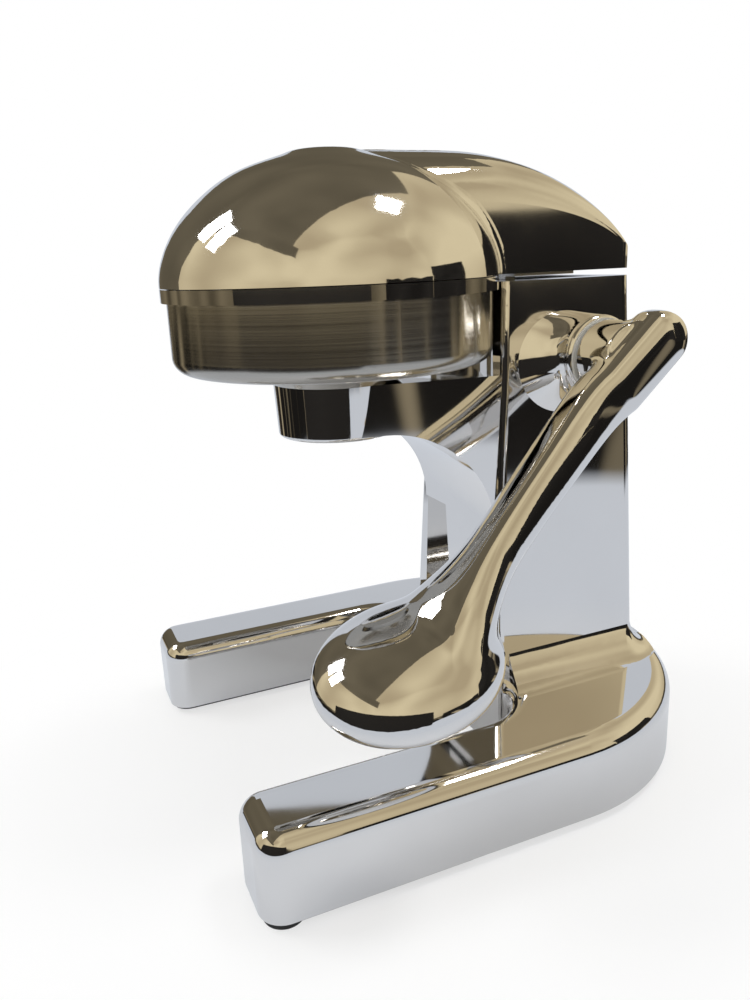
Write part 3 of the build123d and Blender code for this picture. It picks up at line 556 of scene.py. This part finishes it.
def make_room(stage):
    """Glowing walls, a ceiling and standing cards, seen only in the metal as painted
    reflections.
    """
    reach, height = stage.room_reach, stage.room_height
    wall = card_material("warm_wall", (stage.wall_shade, stage.wall_colour),
                         scale=(0.35, 0.35, 0.35), edges=(0.35, 0.65))
    # Painted shade, for the ceiling and the dim walls.
    shade = card_material("shaded_wall", (tinted(stage.ceiling_colour, 0.7),
                                          stage.ceiling_colour),
                          scale=(0.5, 0.5, 0.5), edges=(0.3, 0.7))
    paper = card_material("white_paper", (tinted(stage.sheet_mirrored, 0.88),
                                          stage.sheet_mirrored),
                          scale=(3, 3, 3), edges=(0.3, 0.7))
    dark = card_material("dark_card", (stage.dark_colour, tinted(stage.dark_colour, 2)),
                         scale=(2, 2, 2), edges=(0.3, 0.7))
    make_walls(stage, wall, shade)
    only_reflected(add_stage_sheet("ceiling", (2 * reach, 2 * reach), (0, 0, height)), shade)
    # Dark and white glowing cards, seen only in the metal as painted reflections.
    for name, degrees, away, width, tall, card in (
            ("dark_shelf", 30, 2.30, 1.40, stage.shelf_height, dark),
            ("dark_cupboard", 62, 2.30, 1.20, stage.cupboard_height, dark),
            ("dark_screen", -42, 0.35, 0.60, stage.screen_height, dark),
            ("white_backdrop", 158, 0.35, 0.52, stage.backdrop_height, paper)):
        turn = radians(degrees)
        only_reflected(add_stage_sheet(name, (width, tall),
                                       (away * cos(turn), away * sin(turn), tall / 2),
                                       (pi / 2, 0, turn + pi / 2)), card)
    # A pale stretch of ceiling: painted light, seen only in the metal.
    turn, away = PALE_CEILING_TURN, reach + PALE_CEILING_START
    only_reflected(add_stage_sheet("pale_ceiling", (2 * reach, 4 * reach),
                                   (away * cos(turn), away * sin(turn),
                                    height - PALE_CEILING_DROP), (0, 0, turn)), wall)


def make_world():
    """Even light on the press, plain white for the camera."""
    world = bpy.data.worlds.new("studio")
    bpy.context.scene.world = world
    tree = node_tree(world)
    background = tree.nodes["Background"]
    white = tree.nodes.new("ShaderNodeBackground")
    for light, strength in ((background, WORLD_LIGHT), (white, 1.0)):
        light.inputs["Color"].default_value = (*WHITE, 1)
        light.inputs["Strength"].default_value = strength
    seen, _ = background_rays(tree)
    mix = tree.nodes.new("ShaderNodeMixShader")
    link(tree, (seen, mix.inputs[0]), (background.outputs[0], mix.inputs[1]),
         (white.outputs[0], mix.inputs[2]),
         (mix.outputs[0], tree.nodes["World Output"].inputs[0]))


def add_soft_lamp(name, location, size, power):
    """Soft lamp that is turned to the press."""
    deselect_all()
    bpy.ops.object.light_add(type="AREA", location=location)
    lamp = bpy.context.object
    lamp.name = name
    lamp.data.shape = "RECTANGLE"
    lamp.data.size, lamp.data.size_y = size
    lamp.data.energy = power
    aim = LAMP_AIM - Vector(location)
    lamp.rotation_euler = aim.to_track_quat("-Z", "Y").to_euler()


def make_camera():
    deselect_all()
    bpy.ops.object.camera_add(location=CAMERA_PLACE, rotation=CAMERA_TURN)
    camera = bpy.context.object
    camera.name = "camera"
    camera.data.sensor_fit = "VERTICAL"
    camera.data.sensor_height = CAMERA_SENSOR
    camera.data.lens = CAMERA_LENS
    bpy.context.scene.camera = camera


# ---------------------------------------------------------------- add-on

class PRESS_OT_lever(bpy.types.Operator):
    """Models the lever with its polished blends"""
    bl_idname = "press.lever"
    bl_label = "Lever"

    def execute(self, context):
        make_lever(context.scene.press_lever)
        return {"FINISHED"}


class PRESS_OT_finishes(bpy.types.Operator):
    """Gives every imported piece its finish"""
    bl_idname = "press.finishes"
    bl_label = "Finishes"

    def execute(self, context):
        look = context.scene.press_look
        chrome = plated_finish("polished_chrome", look.chrome_tint, look.chrome_haze,
                               look.chrome_wave)
        steel = plated_finish("plain_steel", look.steel_tint, look.steel_roughness,
                              look.steel_wave)
        brass = plated_finish("bush_brass", look.brass_tint, look.steel_roughness,
                              look.steel_wave)
        nylon = grained_finish("moulded_nylon", look.nylon_colour, roughness=(0.35, 0.5),
                               scale=600.0, depth=0.00003)
        rubber = grained_finish("black_rubber", look.rubber_colour, roughness=(0.55, 0.8),
                                scale=900.0, depth=0.0002)
        cover = grained_finish("dark_cover", look.cover_colour, roughness=(0.3, 0.5),
                               scale=700.0, depth=0.00005)
        finishes = {
            "juice_bowl": bowl_finish(look),
            "rubber_feet": rubber, "base_cover_plate": cover,
            "rack_guide_block": nylon, "lever_thrust_washer": nylon,
            "shaft_bush_left": brass, "shaft_bush_right": brass,
            "body_casting": chrome, "lever_arm": chrome, "head_cover": chrome}
        for node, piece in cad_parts.items():
            dress(piece, finishes.get(node, steel))
        dress(bpy.data.objects["lever_skin"], chrome)
        return {"FINISHED"}


class PRESS_OT_stage(bpy.types.Operator):
    """Sets the floor, the room that the metal mirrors, the light and the camera"""
    bl_idname = "press.stage"
    bl_label = "Stage"

    def execute(self, context):
        stage = context.scene.press_stage
        make_floor(stage)
        make_apron(stage)
        make_room(stage)
        make_world()
        for lamp in LAMPS:
            add_soft_lamp(*lamp)
        make_camera()
        context.scene.view_settings.view_transform = "Standard"
        return {"FINISHED"}


class PRESS_PT_panel(bpy.types.Panel):
    """Shows the press's values and its operators"""
    bl_idname = "PRESS_PT_panel"
    bl_label = "Citrus Press"
    bl_space_type = "VIEW_3D"
    bl_region_type = "UI"
    bl_category = "Press"

    def draw(self, context):
        column = self.layout.column()
        scene = context.scene
        for group in (scene.press_look, scene.press_lever, scene.press_stage):
            for value in group.__annotations__:
                column.prop(group, value)
        for operator in OPERATORS:
            column.operator(operator.bl_idname)


OPERATORS = (PRESS_OT_lever, PRESS_OT_finishes, PRESS_OT_stage)
CLASSES = (PressLook, PressLever, PressStage, *OPERATORS, PRESS_PT_panel)


def register():
    for item in CLASSES:
        bpy.utils.register_class(item)
    bpy.types.Scene.press_look = PointerProperty(type=PressLook)
    bpy.types.Scene.press_lever = PointerProperty(type=PressLever)
    bpy.types.Scene.press_stage = PointerProperty(type=PressStage)


def unregister():
    del bpy.types.Scene.press_stage
    del bpy.types.Scene.press_lever
    del bpy.types.Scene.press_look
    for item in reversed(CLASSES):
        bpy.utils.unregister_class(item)


def main():
    register()
    bpy.ops.press.lever()
    bpy.ops.press.finishes()
    bpy.ops.press.stage()


if __name__ == "__main__":
    main()
